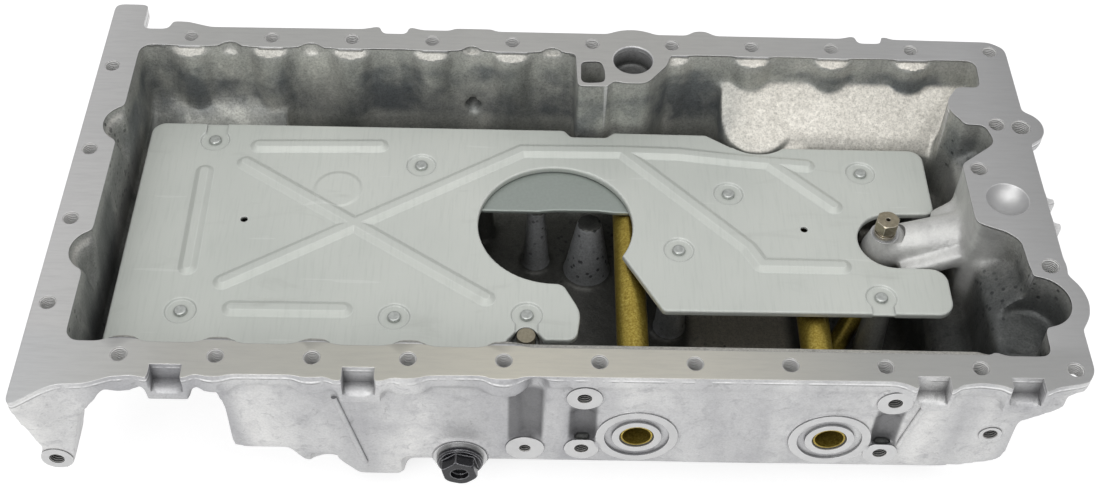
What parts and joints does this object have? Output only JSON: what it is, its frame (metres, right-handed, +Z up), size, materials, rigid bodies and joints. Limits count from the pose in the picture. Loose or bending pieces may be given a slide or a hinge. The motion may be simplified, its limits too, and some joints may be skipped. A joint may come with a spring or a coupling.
{
  "type": "engine oil pan",
  "caption": "Cast aluminium engine oil pan with a bolted rail, pressed windage baffle, oil tubes to a cooler flange, pickup and drain plug.",
  "frame": {"origin": "middle of the two bolt rows on the machined rail face", "axes": "+X along the engine towards the timing end, +Y across it away from the cooler flange, +Z up to the engine block"},
  "size_m": [0.5207, 0.2818, 0.11],
  "materials": {
    "cast_aluminium": "cast, machined faces satin",
    "baffle_steel": "pale zinc finish",
    "screw_steel": "satin",
    "lower_baffle_steel": "pale zinc finish",
    "plug_steel": "dull",
    "tube_steel": "yellow zinc coating",
    "seal_rubber": "matt",
    "plug_black": "black oxide",
    "washer_aluminium": "satin",
    "union_nickel": "dull nickel",
    "screen_steel": "wire grey"
  },
  "bodies": {
    "root": {"pan_casting": "cast_aluminium", "baffle_plate": "baffle_steel", "baffle_screws": "screw_steel", "lower_baffle": "lower_baffle_steel", "lower_baffle_screws": "screw_steel", "baffle_plug": "plug_steel", "cooler_tube_left": "tube_steel", "cooler_tube_right": "tube_steel", "left_tube_front_seal": "seal_rubber", "left_tube_rear_seal": "seal_rubber", "right_tube_front_seal": "seal_rubber", "right_tube_rear_seal": "seal_rubber", "drain_plug": "plug_black", "drain_plug_washer": "washer_aluminium", "oil_union": "union_nickel", "oil_union_washer": "washer_aluminium", "pickup_pipe": "tube_steel", "pickup_pipe_seal": "seal_rubber", "pickup_cup": "tube_steel", "pickup_screen": "screen_steel", "pickup_bracket": "tube_steel", "pickup_screw": "screw_steel"}
  },
  "joints": []
}
